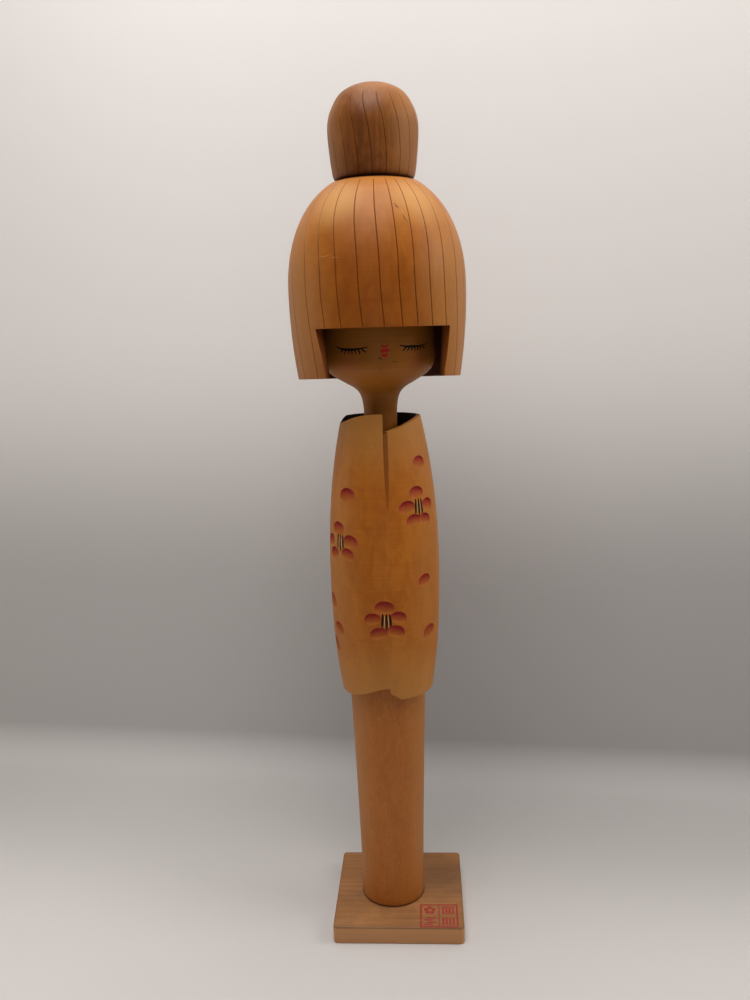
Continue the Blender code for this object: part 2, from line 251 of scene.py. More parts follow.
def make_sweep():
    """Floor, curved corner and wall in one sheet."""
    work = bmesh.new()
    line = [(-FLOOR_DEPTH, 0.0)]
    for i in range(13):
        a = math.radians(90) * i / 12
        line.append((WALL_DISTANCE - SWEEP_RADIUS + SWEEP_RADIUS * math.sin(a),
                     SWEEP_RADIUS - SWEEP_RADIUS * math.cos(a)))
    line.append((WALL_DISTANCE, WALL_HEIGHT))
    verts = [work.verts.new((-SWEEP_HALF_WIDTH, y, z)) for y, z in line]
    edges = [work.edges.new(pair) for pair in zip(verts, verts[1:])]
    grown = bmesh.ops.extrude_edge_only(work, edges=edges)["geom"]
    moved = [v for v in grown if isinstance(v, bmesh.types.BMVert)]
    bmesh.ops.translate(work, verts=moved, vec=(2 * SWEEP_HALF_WIDTH, 0.0, 0.0))
    turn = Matrix.Rotation(WALL_YAW, 4, 'Z')
    bmesh.ops.transform(work, matrix=turn, verts=work.verts)
    bmesh.ops.recalc_face_normals(work, faces=work.faces)
    lowest = min(work.faces, key=lambda face: face.calc_center_median().z)
    if lowest.normal.z < 0:
        bmesh.ops.reverse_faces(work, faces=work.faces)
    mesh = bpy.data.meshes.new("sweep")
    work.to_mesh(mesh)
    work.free()
    mesh.shade_smooth()
    mesh.materials.append(sweep_paper())
    sweep = in_scene("sweep", mesh)


def make_light(name, place, target, size, power, colour):
    """A square soft light that faces a point."""
    data = bpy.data.lights.new(name, 'AREA')
    data.shape = 'SQUARE'
    data.size = size
    data.energy = power
    data.color = colour
    lamp = in_scene(name, data)
    lamp.visible_camera = False
    lamp.location = place
    lamp.rotation_euler = (Vector(target) - Vector(place)).to_track_quat('-Z', 'Y').to_euler()


make_sweep()
make_light("overhead", (-0.02, -0.05, 0.82), (0.0, 0.0, 0.1), 0.50, 3.0, (1.0, 0.975, 0.95))
make_light("key", (-0.05, -0.27, 0.74), (0.0, 0.0, 0.20), 0.32, 1.75, (1.0, 0.96, 0.92))
make_light("right_fill", (0.54, -0.06, 0.52), (0.0, 0.0, 0.28), 0.36, 1.6, (1.0, 0.93, 0.82))
make_light("left_fill", (-0.62, 0.02, 0.22), (0.0, 0.0, 0.18), 0.42, 0.6, (1.0, 0.88, 0.72))
make_light("low_fill", (0.04, -0.62, 0.12), (0.0, 0.0, 0.03), 0.36, 0.30, (1.0, 0.97, 0.93))
world = bpy.data.worlds.new("room")
world.use_nodes = True
room_light = world.node_tree.nodes["Background"].inputs
room_light["Color"].default_value = (0.78, 0.80, 0.86, 1)
room_light["Strength"].default_value = 0.06
bpy.context.scene.world = world


# ==== Base plate ==============================================================
# A square of brown hardwood with its grain running crosswise, corners rounded and edges eased.
# It is oiled, has darkened at its edges, and is countersunk underneath for the screw.

PLATE_SIDE = 57.3 * MM
PLATE_THICK = 8.1 * MM
PLATE_CENTRE = Vector((2.95 * MM, 0.76 * MM, PLATE_THICK / 2))
PLATE_CORNER = 1.8 * MM
PLATE_EASING = 0.55 * MM
COUNTERSINK_R = 4.3 * MM
SCREW_HOLE_R = 2.3 * MM
WOOD_RELIEF = 0.018 * MM     # from the bottom of a pore to the top of a fibre


def wood(name, pale, deep, along='Z', figure=0.5, ring=0.25, fibre=0.35, fleck=0.3,
         ring_spacing=2.6 * MM, pith=(0.05, 0.04, 0.0), roughness=0.42, offset=(0, 0, 0),
         gloss=0.4, turned=0.0, ripple=0.0, mottle=0.0):
    """A finish of waxed wood, and its colour before any engraving or stain."""
    def grain(across_cells, along_cells):
        cells = [across_cells] * 3
        cells['XYZ'.index(along)] = along_cells
        return tuple(cells)

    finish = Finish(name, roughness, gloss)
    tilt = {'Z': (0.0, 0.03, 0.0), 'X': (0.0, math.radians(90), 0.0)}[along]
    cloud = finish.noise(grain(52.0, 21.0), 3.0, 0.5, 0.6, offset)
    rings = finish.rings(pith, tilt, ring_spacing, 1.6)
    fibres = finish.noise(grain(1500.0, 38.0), 5.0, 0.65, 0.0, offset)
    pores = finish.noise(grain(2700.0, 170.0), 2.0, 0.5, 0.0, offset)
    curl = finish.noise(grain(210.0, 105.0), 4.0, 0.6, 0.8, offset)
    tool_marks = finish.noise((14.0, 14.0, 1100.0), 4.0, 0.7)
    middle = tuple((a + b) / 2 for a, b in zip(pale, deep))
    tone = finish.layer(pale, cloud, 0.3, 0.7, figure, middle)
    for mask, low, high, amount in ((rings, 0.35, 1.0, ring), (fibres, 0.42, 0.68, fibre),
                                    (pores, 0.60, 0.72, fleck), (curl, 0.38, 0.66, mottle),
                                    (tool_marks, 0.48, 0.68, turned)):
        if amount:
            tone = finish.layer(tone, mask, low, high, amount, deep)
    height = finish.maths('ADD', fibres, finish.maths('MULTIPLY', pores, 0.6))
    if ripple:
        swell = finish.noise(grain(120.0, 70.0), 2.0, 0.5, 0.0, offset)
        height = finish.maths('ADD', height, finish.maths('MULTIPLY', swell, ripple / WOOD_RELIEF))
    finish.relief(height, WOOD_RELIEF)
    sheen = finish.span(cloud, 0.3, 0.7, roughness - 0.04, roughness + 0.07)
    finish.put(sheen, finish.shader.inputs["Roughness"])
    return finish, tone


def as_object(name, work, *materials):
    """Turn a finished bmesh into a smooth-shaded object of the doll."""
    mesh = bpy.data.meshes.new(name)
    work.to_mesh(mesh)
    work.free()
    for material in materials:
        mesh.materials.append(material)
    mesh.shade_smooth()
    mesh.set_sharp_from_angle(angle=math.radians(34))
    return in_scene(name, mesh)


def polar(point):
    """A point's distance from the doll's axis and its angle round it in degrees."""
    return math.hypot(point.x, point.y), math.degrees(math.atan2(point.x, -point.y))


def round_axis(radius, angle, z):
    """The point at a radius and an angle in degrees round the doll's axis."""
    turn = math.radians(angle)
    return Vector((radius * math.sin(turn), -radius * math.cos(turn), z))


def lathe(profile, columns):
    """Spin a profile of (radius, height), then move its columns to the given angles."""
    work = bmesh.new()
    verts = [work.verts.new((0.0 if r < 1e-9 else r, 0.0, z)) for r, z in profile]
    edges = [work.edges.new(pair) for pair in zip(verts, verts[1:])]
    count = len(columns)
    bmesh.ops.spin(work, geom=verts + edges, cent=(0, 0, 0), axis=(0, 0, 1),
                   angle=2 * math.pi, steps=count, use_merge=True)
    bmesh.ops.remove_doubles(work, verts=work.verts, dist=1e-7)
    for v in work.verts:
        radius = math.hypot(v.co.x, v.co.y)
        if radius > 1e-7:
            index = round(math.atan2(v.co.y, v.co.x) / (2 * math.pi) * count) % count
            v.co = round_axis(radius, columns[index], v.co.z)
    bmesh.ops.recalc_face_normals(work, faces=work.faces)
    return work


def even(count):
    """Column angles spaced evenly all round."""
    return [360.0 * i / count for i in range(count)]


def soften(profile, radius, steps=3):
    """Round each corner of a profile that turns by more than 20 degrees."""
    line = [Vector(p) for p in profile]
    out = [tuple(line[0])]
    for before, corner, after in zip(line, line[1:], line[2:]):
        back = before - corner
        on = after - corner
        turn = math.degrees(back.angle(on))
        if turn > 160:
            out.append(tuple(corner))
            continue
        reach = min(radius, 0.45 * back.length, 0.45 * on.length)
        start = corner + back.normalized() * reach
        end = corner + on.normalized() * reach
        for i in range(steps + 1):
            t = i / steps
            out.append(tuple(start * (1 - t) ** 2 + corner * 2 * t * (1 - t) + end * t ** 2))
    out.append(tuple(line[-1]))
    return out


def combine(body, work, tools):
    """Cut closed bmeshes out of a bmesh and return the result."""
    mesh = bpy.data.meshes.new(body + "_work")
    work.to_mesh(mesh)
    work.free()
    holder = in_scene(body + "_work", mesh)
    helpers = []
    for i, tool in enumerate(tools):
        tool_mesh = bpy.data.meshes.new(f"{body}_tool_{i}")
        tool.to_mesh(tool_mesh)
        tool.free()
        helper = in_scene(f"{body}_tool_{i}", tool_mesh)
        helpers.append(helper)
        cut = holder.modifiers.new(f"Cut {i}", 'BOOLEAN')
        cut.operation = 'DIFFERENCE'
        cut.solver = 'EXACT'
        cut.object = helper
    bpy.context.view_layer.update()
    evaluated = holder.evaluated_get(bpy.context.evaluated_depsgraph_get())
    done = bpy.data.meshes.new_from_object(evaluated)
    result = bmesh.new()
    result.from_mesh(done)
    for used in [holder, *helpers]:
        bpy.data.objects.remove(used)
    bpy.data.meshes.remove(done)
    return result


def make_plate():
    """The plate's block with rounded corners, eased edges and the screw's hole."""
    work = bmesh.new()
    bmesh.ops.create_cube(work, size=1.0)
    bmesh.ops.scale(work, vec=(PLATE_SIDE, PLATE_SIDE, PLATE_THICK), verts=work.verts)
    upright = [e for e in work.edges if abs(e.verts[0].co.z - e.verts[1].co.z) > PLATE_THICK / 2]
    bmesh.ops.bevel(work, geom=upright, offset=PLATE_CORNER, affect='EDGES', segments=8,
                    profile=0.5, material=-1)
    rim = [e for e in work.edges if abs(e.verts[0].co.z - e.verts[1].co.z) < MM
           and e.calc_face_angle(0.0) > math.radians(60)]
    bmesh.ops.bevel(work, geom=rim, offset=PLATE_EASING, affect='EDGES', segments=4,
                    profile=0.5, material=-1)
    bmesh.ops.translate(work, vec=PLATE_CENTRE, verts=work.verts)
    hole = lathe([(0.0, PLATE_THICK + MM), (SCREW_HOLE_R, PLATE_THICK + MM),
                  (SCREW_HOLE_R, 3.0 * MM), (COUNTERSINK_R, 0.5 * MM), (COUNTERSINK_R, -MM),
                  (0.0, -MM)], even(48))
    return combine("base_plate", work, [hole])


finish, tone = wood("plate_wood", (0.38, 0.172, 0.058), (0.15, 0.060, 0.016), along='X',
                    figure=0.9, ring=0.15, fibre=0.4, fleck=0.35, ring_spacing=3.4 * MM,
                    pith=(0.0, 0.03, -0.06), roughness=0.55)
smudges = finish.noise((45.0, 45.0, 45.0), 4.0, 0.6, 0.5, (5, 1, 2))
shaded = finish.near((24.0 * MM, 9.0 * MM, PLATE_THICK), 3.0 * MM, 19.0 * MM, 0.6)
under_top = finish.axis('Z', PLATE_THICK)
to_side = finish.maths('MAXIMUM', finish.axis('X', PLATE_CENTRE.x), finish.axis('Y', PLATE_CENTRE.y))
edge = PLATE_SIDE / 2
tone = finish.layer(tone, smudges, 0.48, 0.72, 0.5, (0.17, 0.085, 0.035))
tone = finish.mix(shaded, tone, (0.12, 0.055, 0.024))
# Painted light: the plate's sides are painted paler than its top, for the light they catch from in
# front.
tone = finish.layer(tone, under_top, 0.5 * MM, 1.0 * MM, 0.85, (0.66, 0.31, 0.115))
tone = finish.layer(tone, to_side, edge - 1.2 * MM, edge - 0.2 * MM, 0.25, (0.12, 0.06, 0.03))
# Painted shade: a dark ring on the plate round the column's foot, where the two meet.
tone = finish.layer(tone, finish.from_axis(), 14.8 * MM, 13.9 * MM, 0.7, (0.07, 0.020, 0.007))
finish.colour(tone)

base_plate = as_object("plate_board", make_plate(), finish.material)
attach(base_plate, "body")
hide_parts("base_plate")


# ==== Stamp ===================================================================
# A square of red seal ink pressed on the plate near its front corner: a plain frame and bars
# round four small ornaments. The ink is a thin skin, patchy where the stamp pressed lightly.

STAMP_CENTRE = Vector((20.7 * MM, -19.7 * MM))
STAMP_WIDTH = 16.8 * MM
STAMP_LENGTH = 15.8 * MM
STAMP_LINE = 0.8 * MM
INK_THICK = 0.04 * MM
INK_FLOOR = PLATE_THICK - 0.02 * MM


def ink_disc(work, x, y, radius):
    """One round dab of ink."""
    made = bmesh.ops.create_circle(work, cap_ends=True, radius=radius, segments=24)
    bmesh.ops.translate(work, verts=made["verts"], vec=(x, y, 0.0))


def ink_bar(work, x, y, width, length):
    """One straight bar of ink."""
    made = bmesh.ops.create_grid(work, x_segments=1, y_segments=1, size=0.5)
    bmesh.ops.scale(work, verts=made["verts"], vec=(width, length, 1.0))
    bmesh.ops.translate(work, verts=made["verts"], vec=(x, y, 0.0))


def ink_square(work, x, y, size):
    """A hollow square of four bars."""
    for side in (-1, 1):
        ink_bar(work, x + side * size / 2, y, 0.85 * MM, size + 0.85 * MM)
        ink_bar(work, x, y + side * size / 2, size - 0.95 * MM, 0.85 * MM)


def make_stamp():
    """Frame, dividing bar, blossom, nested squares, staggered and upright bars, raised."""
    work = bmesh.new()
    half_w = STAMP_WIDTH / 2
    half_l = STAMP_LENGTH / 2
    for side in (-1, 1):
        ink_bar(work, side * (half_w - STAMP_LINE / 2), 0.0, STAMP_LINE, STAMP_LENGTH)
        ink_bar(work, 0.0, side * (half_l - STAMP_LINE / 2),
                STAMP_WIDTH - 2.1 * STAMP_LINE, STAMP_LINE)
    ink_bar(work, 0.0, 0.0, 0.55 * MM, STAMP_LENGTH - 2.6 * STAMP_LINE)
    cell_x = half_w / 2 - 0.15 * MM
    cell_y = half_l / 2 - 0.25 * MM
    for i in range(5):
        a = math.radians(90 + 72 * i)
        ink_disc(work, -cell_x + 1.75 * MM * math.cos(a), cell_y + 1.75 * MM * math.sin(a),
                 1.0 * MM)
    ink_square(work, cell_x, cell_y, 4.4 * MM)
    ink_square(work, cell_x, cell_y, 1.7 * MM)
    for row in range(4):
        y = -cell_y + (row - 1.5) * 1.5 * MM
        lean = 0.7 * MM * (1 if row % 2 else -1)
        ink_bar(work, -cell_x + lean, y, 3.9 * MM, 0.9 * MM)
        ink_bar(work, cell_x + (row - 1.5) * 1.5 * MM, -cell_y, 0.85 * MM, 5.2 * MM)
    grown = bmesh.ops.extrude_face_region(work, geom=list(work.faces))["geom"]
    raised = [v for v in grown if isinstance(v, bmesh.types.BMVert)]
    bmesh.ops.translate(work, verts=raised, vec=(0.0, 0.0, INK_THICK))
    bmesh.ops.translate(work, verts=work.verts, vec=(*STAMP_CENTRE, INK_FLOOR))
    bmesh.ops.recalc_face_normals(work, faces=work.faces)
    return work


def mottled(name, roughness, first, second, cells, gloss=0.5, detail=4.0, grit=0.55, patch=None):
    """A finish of two colours, mixed by a noise and parted into patches where a range is given."""
    finish = Finish(name, roughness, gloss)
    mask = finish.noise(cells, detail, grit)
    if patch:
        mask = finish.span(mask, *patch)
    finish.colour(finish.mix(mask, first, second))
    return finish


ink = mottled("seal_ink", 0.6, (0.31, 0.018, 0.017), (0.30, 0.085, 0.04), (700.0, 1000.0, 700.0),
              detail=5.0, grit=0.7, patch=(0.50, 0.74))
stamp = as_object("stamp_ink", make_stamp(), ink.material)
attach(stamp, "body")


# ==== Leg column ==============================================================
# A round column of a pinker wood, turned with a slow taper towards its foot and waxed.
# It is screwed to the plate from below, and its upper end is glued into the kimono's bore.

COLUMN_FOOT_R = 13.95 * MM
COLUMN_TOP_R = 16.6 * MM
COLUMN_FOOT = 8.4 * MM
COLUMN_TAPER_TOP = 110.0 * MM
COLUMN_TOP = 148.0 * MM
PILOT_R = 2.3 * MM


def column_profile():
    """Down the outside from the top, then up the pilot hole."""
    line = [(0.0, COLUMN_TOP), (COLUMN_TOP_R, COLUMN_TOP)]
    for i in range(41):
        up = 1 - i / 40
        radius = COLUMN_FOOT_R + (COLUMN_TOP_R - COLUMN_FOOT_R) * up ** 1.35
        line.append((radius, COLUMN_FOOT + (COLUMN_TAPER_TOP - COLUMN_FOOT) * up))
    line += [(PILOT_R, COLUMN_FOOT), (PILOT_R, 30.5 * MM), (0.0, 31.5 * MM)]
    return soften(line, 0.5 * MM)


finish, tone = wood("column_wood", (0.44, 0.142, 0.020), (0.26, 0.066, 0.008), figure=0.5,
                    ring=0.05, fibre=0.16, fleck=0.35, roughness=0.5, pith=(0.06, -0.05, 0.0),
                    offset=(3.0, 1.0, 0.0), ripple=0.05 * MM, gloss=0.3, mottle=0.2)
# Painted light: the column is painted paler at its left and right sides than across its front.
tone = finish.mix(finish.flanks(0.0, 5.0 * MM, 16.0 * MM, 0.6), tone, (0.45, 0.195, 0.045))
pale_dashes = finish.noise((1300.0, 1300.0, 420.0), 3.0, 0.6, 0.8, (7, 3, 1))
finish.colour(finish.layer(tone, pale_dashes, 0.54, 0.68, 0.22, (0.58, 0.27, 0.11)))
column = as_object("turned_column", lathe(column_profile(), even(160)), finish.material)
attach(column, "body")
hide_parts("leg_column")


# ==== Kimono ==================================================================
# A barrel of honey-coloured wood, turned, bored from both ends and then carved by hand.
# The left panel overlaps the right; collar and hem are pared to their slanting lines.
# Plum blossoms are gouged out petal by petal and stained red, and the collar is blacked inside.

KIMONO_R = 23.5 * MM
KIMONO_WIDEST = 163.0 * MM
KIMONO_TOP = 230.0 * MM
KIMONO_HEM = 109.2 * MM
COLLAR_BORE_R = 15.0 * MM
COLLAR_FLOOR = 206.0 * MM
NECK_SOCKET_R = 5.8 * MM
NECK_SOCKET_FLOOR = 186.0 * MM
HEM_BORE_R = 16.9 * MM
HEM_BORE_TOP = 148.3 * MM
RIM_ZONE = 16.0 * MM          # the pared collar eases into the barrel over this height
RIM_RADIUS = 16.4             # in millimetres, to lay out the collar's line across the front
HEM_ZONE = 14.0 * MM
HEM_RADIUS = 19.6             # in millimetres, to lay out the hem's line across the front
HEM_RISE = 5.6 * MM
HEM_STEP = 1.7                # the hem is highest this far right of the middle, in millimetres
HEM_STEP_RUN = 5.6            # and comes down to the right over this width
OVERLAP_ANGLE = 4.8           # the overlap's edge
OVERLAP_END = 190.5 * MM
OVERLAP_RUN = 29.0 * MM
OVERLAP_EASING = 7.5          # the columns past the edge close up over this angle
OVERLAP_WIDTH = 5.6           # the groove's width where it meets the collar
OVERLAP_DEPTH = 1.15 * MM


def smooth(value):
    """Ease from 0 to 1, held at both ends."""
    t = min(max(value, 0.0), 1.0)
    return t * t * (3 - 2 * t)


def kimono_radius(z):
    """The barrel's outer radius at a height."""
    above = (z - KIMONO_WIDEST) / MM
    if above > 0:
        return KIMONO_R - 0.866e-6 * above ** 2.15
    return KIMONO_R - 0.26e-6 * (-above) ** 2.4


def rim_rise(angle):
    """How far the collar's rim stands above KIMONO_TOP at an angle from -180 to 180."""
    x = RIM_RADIUS * math.sin(math.radians(angle))
    if -90 <= angle <= OVERLAP_ANGLE:
        return -0.00078 * max(0.0, 1.5 - x) ** 3 * MM
    if OVERLAP_ANGLE < angle <= 90:
        return (-7.1 + 0.23 * (x - 1.6) + 0.0095 * (x - 1.6) ** 2) * MM
    if -118 < angle < -90:
        return (-4.4 + 2.5 * smooth((-90 - angle) / 27)) * MM
    return -1.9 * MM


def hem_rise(angle):
    """How far the hem stands above KIMONO_HEM at an angle from -180 to 180."""
    x = HEM_RADIUS * math.sin(math.radians(angle))
    if abs(angle) > 90:
        return 0.0
    if x <= HEM_STEP:
        return HEM_RISE * smooth((x + 17.5) / 19.2)
    down = min((x - HEM_STEP) / HEM_STEP_RUN, 1.0)
    return HEM_RISE * (1 - math.sin(math.radians(90) * down))


def overlap_width(z):
    """The overlap groove's width in degrees: widest at the collar, nothing at its lower end."""
    run = min(max((z - OVERLAP_END) / OVERLAP_RUN, 0.0), 1.0)
    return OVERLAP_WIDTH * (1 - (1 - run) ** 1.7)


def kimono_columns():
    """Even columns all round, with extra ones at the overlap."""
    near = [-6.0, -4.0, -2.5, -1.4, -0.7, -0.3, -0.1, -0.02, 0.02, 0.35, 0.8, 1.4, 2.0, 2.7,
            3.4, 4.2, 5.0, 6.0, 7.5]
    first = OVERLAP_ANGLE + near[0] - 1.5
    last = OVERLAP_ANGLE + near[-1] + 1.5
    around = 196
    step = (360.0 - (last - first)) / around
    return [last + step * i for i in range(around + 1)] + [OVERLAP_ANGLE + n for n in near]


def kimono_profile():
    """Socket, collar bore, over the rim, down the barrel, under the hem and up the bore."""
    line = [(0.0, NECK_SOCKET_FLOOR), (NECK_SOCKET_R, NECK_SOCKET_FLOOR),
            (NECK_SOCKET_R, COLLAR_FLOOR), (COLLAR_BORE_R, COLLAR_FLOOR)]
    for i in range(1, 13):
        line.append((COLLAR_BORE_R, COLLAR_FLOOR + (KIMONO_TOP - COLLAR_FLOOR) * i / 12))
    rows = 108
    for i in range(rows + 1):
        z = KIMONO_TOP + (KIMONO_HEM - KIMONO_TOP) * i / rows
        line.append((kimono_radius(z), z))
    for i in range(9):
        line.append((HEM_BORE_R, KIMONO_HEM + (HEM_BORE_TOP - KIMONO_HEM) * (i / 8) ** 1.5))
    line.append((0.0, HEM_BORE_TOP))
    return soften(line, 0.28 * MM)


def carve_kimono(work):
    """Move the lathe's rim and hem to their lines, and sink the groove of the overlap."""
    layer = work.verts.layers.float.new("groove")
    for v in work.verts:
        radius, angle = polar(v.co)
        z = v.co.z
        if z > KIMONO_TOP - RIM_ZONE and radius > NECK_SOCKET_R + MM and z > COLLAR_FLOOR + MM:
            skin = (radius - COLLAR_BORE_R) / (kimono_radius(z) - COLLAR_BORE_R)
            z += rim_rise(angle) * smooth((z - KIMONO_TOP + RIM_ZONE) / RIM_ZONE)
            radius = COLLAR_BORE_R + skin * (kimono_radius(z) - COLLAR_BORE_R)
        if z < KIMONO_HEM + HEM_ZONE and radius > HEM_BORE_R - 0.01 * MM:
            skin = (radius - HEM_BORE_R) / (kimono_radius(z) - HEM_BORE_R)
            z += hem_rise(angle) * smooth((KIMONO_HEM + HEM_ZONE - z) / HEM_ZONE)
            radius = HEM_BORE_R + skin * (kimono_radius(z) - HEM_BORE_R)
        past = angle - OVERLAP_ANGLE
        share = overlap_width(z) / OVERLAP_WIDTH
        if 0.0 < past < OVERLAP_WIDTH and radius > kimono_radius(z) - 0.4 * MM:
            floor = 1 - (past / OVERLAP_WIDTH) ** 6
            radius -= OVERLAP_DEPTH * share ** 0.6 * floor
            # How much painted shade the groove's floor takes
            v[layer] = share ** 0.5 * floor
        if 0.0 < past < OVERLAP_WIDTH:
            angle -= past * 0.75 * (1 - share)
        elif OVERLAP_WIDTH <= past < OVERLAP_EASING:
            left = (OVERLAP_EASING - past) / (OVERLAP_EASING - OVERLAP_WIDTH)
            angle -= OVERLAP_WIDTH * 0.75 * (1 - share) * left
        lean = 0.9 * ((z - 217 * MM) / (18 * MM)) ** 2 if z > OVERLAP_END - 6 * MM else 0.0
        angle += lean * max(0.0, 1 - abs(angle - OVERLAP_ANGLE) / 15)
        v.co = round_axis(radius, angle, z)


def on_kimono(angle, z):
    """A frame on the barrel's surface: X to the right, Y up and Z outwards."""
    step = 0.1 * MM
    slope = (kimono_radius(z + step) - kimono_radius(z - step)) / (2 * step)
    out = round_axis(1.0, angle, -slope).normalized()
    right = round_axis(1.0, angle + 90.0, 0.0)
    place = Matrix((right, out.cross(right), out)).transposed().to_4x4()
    place.translation = round_axis(kimono_radius(z), angle, z)
    return place


PETAL_HALF_WIDTH = 4.3 * MM
PETAL_ABOVE = 3.9 * MM        # from the petal's widest line up to its arched edge
PETAL_BELOW = 1.8 * MM
PETAL_DEPTH = 0.78 * MM
PETAL_CLEARANCE = 4.0 * MM    # how far the gouge's sweep stands clear of the wood
PETAL_SLOPE = 0.14            # the floor sinks towards the arched edge
PETAL_HALF_HEIGHT = (PETAL_ABOVE + PETAL_BELOW) / 2
# Petals as (angle, height, lean, size), blossom by blossom: top, left, right and the lower two;
# the last rows are single petals
PETALS = (
    (42.0, 198.0, 0, 0.92), (28.5, 192.5, 10, 0.92), (57.5, 192.5, -8, 0.90),
    (35.5, 187.0, 10, 0.85), (51.5, 186.8, -10, 0.82),
    (-52.5, 183.3, 0, 0.95), (-68.0, 177.5, 10, 0.85), (-34.0, 178.5, -12, 0.92),
    (-60.0, 172.5, 10, 0.85), (-38.0, 173.0, -14, 0.85),
    (1.0, 151.3, 0, 1.03), (-11.5, 146.4, 6, 0.88), (15.3, 147.0, -6, 0.88),
    (-5.5, 140.2, 12, 0.92), (13.0, 141.0, -14, 0.93),
    (146.0, 166.0, 0, 1.0), (131.0, 160.5, 8, 0.9), (161.0, 160.5, -8, 0.9),
    (138.5, 154.5, 10, 0.9), (154.0, 154.5, -10, 0.9),
    (-140.0, 201.0, 0, 0.95), (-155.0, 195.5, 8, 0.85), (-125.0, 195.5, -8, 0.85),
    (-147.5, 190.0, 10, 0.85), (-132.0, 190.0, -10, 0.85),
    (51.5, 210.2, 0, 0.86), (-39.9, 197.5, 0, 1.04), (47.0, 161.2, 12, 0.86),
    (-69.5, 150.9, -20, 0.98), (-57.5, 139.6, -18, 0.86), (-71.0, 131.0, -20, 0.96),
    (55.0, 138.2, 18, 0.95), (108.0, 182.0, 12, 0.95), (-112.0, 166.0, -12, 0.95),
    (118.0, 140.0, 20, 0.9), (-165.0, 136.0, -12, 0.95), (178.0, 205.0, 0, 0.9))
PETAL_ROUNDS = (0, 1, 2, 0, 1)
# (angle, height) of each blossom's heart
BLOSSOM_HEARTS = ((43.5, 192.0), (-48.7, 177.6), (2.8, 145.3), (146.0, 160.0), (-140.0, 195.0))


def petal_places():
    """The frame of each gouged petal on the surface, and its size."""
    places = []
    for angle, z, lean, size in PETALS:
        turned = on_kimono(angle, z * MM) @ Matrix.Rotation(math.radians(lean), 4, 'Z')
        places.append((turned, size))
    return places


def petal_tool(tool, place, size):
    """Add the gouge's sweep: steep walls, an arched upper edge and a floor that runs out below."""
    made = bmesh.ops.create_uvsphere(tool, u_segments=44, v_segments=32, radius=1.0)
    for v in made["verts"]:
        y = v.co.y * (PETAL_ABOVE if v.co.y > 0 else PETAL_BELOW)
        z = v.co.z * (PETAL_CLEARANCE if v.co.z > 0 else PETAL_DEPTH)
        v.co = (v.co.x * PETAL_HALF_WIDTH, y + PETAL_BELOW - PETAL_HALF_HEIGHT,
                z - PETAL_SLOPE * y)
    bmesh.ops.transform(tool, matrix=place @ Matrix.Scale(size, 4), verts=made["verts"])


def stamen_tool():
    """Three upright knife cuts at the heart of each blossom."""
    knife = bmesh.new()
    for angle, z in BLOSSOM_HEARTS:
        centre = on_kimono(angle, z * MM)
        for x, y, half in ((-1.6, 0.2, 3.4), (0.07, -0.3, 3.9), (1.7, 0.1, 3.4)):
            made = bmesh.ops.create_uvsphere(knife, u_segments=16, v_segments=24, radius=1.0)
            shape = (centre @ Matrix.Translation((x * MM, y * MM, 0.05 * MM))
                     @ Matrix.Rotation(math.radians(x * 2.5), 4, 'Z')
                     @ Matrix.Diagonal((0.52 * MM, half * MM, 1.4 * MM, 1.0)))
            bmesh.ops.transform(knife, matrix=shape, verts=made["verts"])
    for face in knife.faces:
        face.material_index = 2
    return knife


def gouge_kimono(work):
    """Cut the petals in three rounds, so that no two of a round touch, and then the stamens."""
    rounds = [bmesh.new(), bmesh.new(), bmesh.new()]
    for i, (place, size) in enumerate(petal_places()):
        single = i >= 5 * len(BLOSSOM_HEARTS)
        petal_tool(rounds[2 if single else PETAL_ROUNDS[i % 5]], place, size)
    for tool in rounds:
        for face in tool.faces:
            face.material_index = 1
    return combine("kimono", work, [*rounds, stamen_tool()])


def stain_petals(kimono):
    """Store how strong the red is: full at each petal's upper edge, thin at its lower one."""
    pigment = kimono.data.attributes.new("pigment", 'FLOAT', 'POINT')
    stained = set()
    for face in kimono.data.polygons:
        if face.material_index == 1:
            stained.update(face.vertices)
    spots = [(place.inverted(), size) for place, size in petal_places()]
    for index in stained:
        point = kimono.data.vertices[index].co
        best = 9.0
        for inverse, size in spots:
            local = inverse @ point
            x = local.x / (PETAL_HALF_WIDTH * size)
            y = local.y / (PETAL_HALF_HEIGHT * size)
            if x * x + y * y < best and abs(local.z) < 3 * MM:
                best = x * x + y * y
                pigment.data[index].value = min(max(0.5 + 0.5 * y + 0.15 * x * x, 0.0), 1.0)


finish, tone = wood("kimono_wood", (0.48, 0.150, 0.012), (0.31, 0.070, 0.003), figure=0.9,
                    ring=0.03, fibre=0.07, fleck=0.06, roughness=0.5, ring_spacing=5.0 * MM,
                    pith=(0.09, 0.05, 0.0), offset=(1.0, 5.0, 2.0), turned=0.28,
                    ripple=0.09 * MM, gloss=0.22, mottle=0.45)
# Painted light: the kimono is painted paler at its sides, towards the collar and towards the hem.
painted_light = finish.flanks(0.5 * MM, 4.0 * MM, 23.0 * MM, 0.35)
for end, far, close, amount in ((KIMONO_TOP, 34.0 * MM, 0.0, 0.65),
                                (KIMONO_HEM, 38.0 * MM, 2.0 * MM, 0.6)):
    towards_end = finish.span(finish.axis('Z', end), far, close, 0.0, amount)
    painted_light = finish.maths('MAXIMUM', painted_light, towards_end)
tone = finish.mix(painted_light, tone, (0.55, 0.260, 0.062))
# Painted shade: the overlap groove is darkened, most towards the collar.
painted_groove_shade = finish.maths('MULTIPLY', finish.painted("groove"), 0.55)
finish.colour(finish.mix(painted_groove_shade, tone, (0.20, 0.052, 0.008)))

